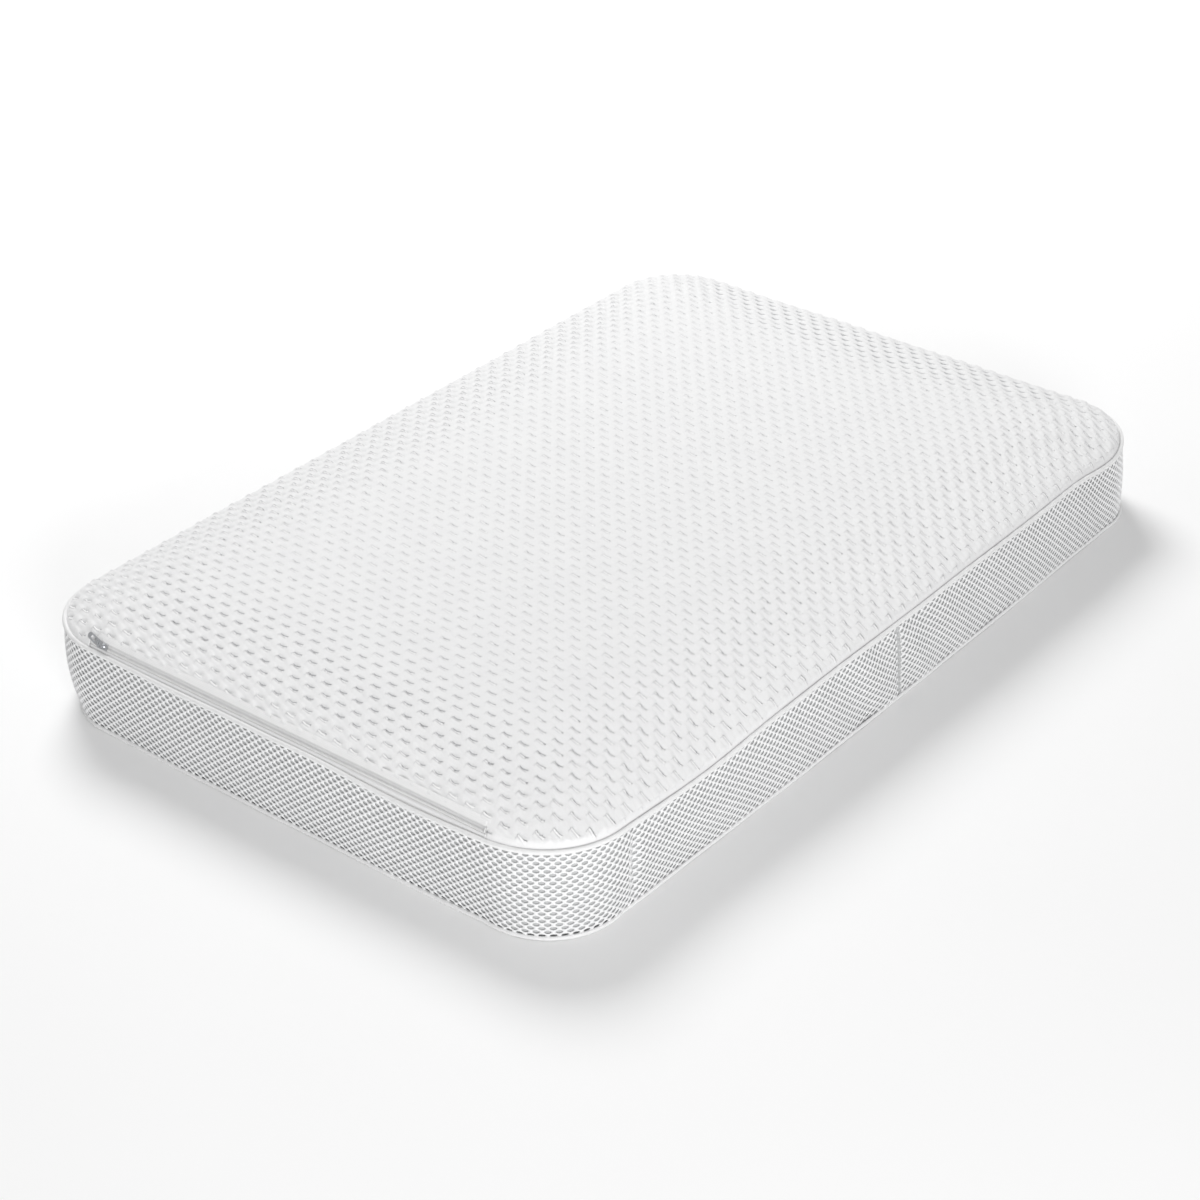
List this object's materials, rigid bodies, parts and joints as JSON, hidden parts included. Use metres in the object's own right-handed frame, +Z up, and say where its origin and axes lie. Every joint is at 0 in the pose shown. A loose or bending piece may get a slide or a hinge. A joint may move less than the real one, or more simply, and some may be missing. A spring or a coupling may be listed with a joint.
{
  "type": "memory foam mattress",
  "caption": "Small two-layer foam mattress in a zipped cover with a crowned, textured top, open-mesh sides and piped seams.",
  "frame": {"origin": "centre of the flat underside, on the surface the mattress lies on", "axes": "+Y along the length, away from the zipped short side; +X across the width, with +X on the right seen from the zipped side; +Z up, through the thickness"},
  "size_m": [0.65, 1, 0.12],
  "materials": {
    "support_foam": "open-cell polyurethane foam, matte",
    "memory_foam": "slow-recovery foam, matte",
    "liner_knit": "thin plain knit",
    "top_knit": "thick air-layer knit in staggered puffs",
    "bottom_cloth": "plain knit",
    "border_mesh": "open spacer mesh with staggered oval holes",
    "piping_cloth": "smooth woven strip",
    "piping_cord": "soft filler cord",
    "thread": "overlocked and tacked sewing thread",
    "label_cloth": "blank woven label",
    "zip_tape": "ribbed woven tape",
    "zip_coil": "nylon coil with stitches",
    "slider_metal": "plated zinc, polished"
  },
  "bodies": {
    "mattress": {"support_foam_base": "support_foam", "memory_foam_layer": "memory_foam", "inner_liner_lower": "liner_knit", "inner_liner_upper": "liner_knit", "top_panel": "top_knit", "bottom_panel": "bottom_cloth", "border_mesh_front": "border_mesh", "border_mesh_back": "border_mesh", "top_piping_strip": "piping_cloth", "top_piping_cord": "piping_cord", "bottom_piping_strip": "piping_cloth", "bottom_piping_cord": "piping_cord", "top_seam_thread": "thread", "bottom_seam_thread": "thread", "liner_seam_thread": "thread", "border_join_thread_right": "thread", "border_join_thread_left": "thread", "care_label": "label_cloth", "zip_tape_lower": "zip_tape", "zip_tape_upper": "zip_tape", "zip_coil_lower": "zip_coil", "zip_coil_upper": "zip_coil", "zip_end_tack_left": "thread", "zip_end_tack_right": "thread"},
    "slider": {"zip_slider_body": "slider_metal"},
    "pull": {"zip_slider_pull": "slider_metal"}
  },
  "joints": [
    {"name": "zip_slide", "type": "slide", "parent": "mattress", "child": "slider", "axis": [1, 0, 0], "range_m": [-0.007, 0.455]},
    {"name": "pull_swing", "type": "hinge", "parent": "slider", "child": "pull", "pos_m": [-0.224, -0.49545, 0.09605], "axis": [0.2588, 0.5849, 0.7687], "range_deg": [0, 150]}
  ]
}
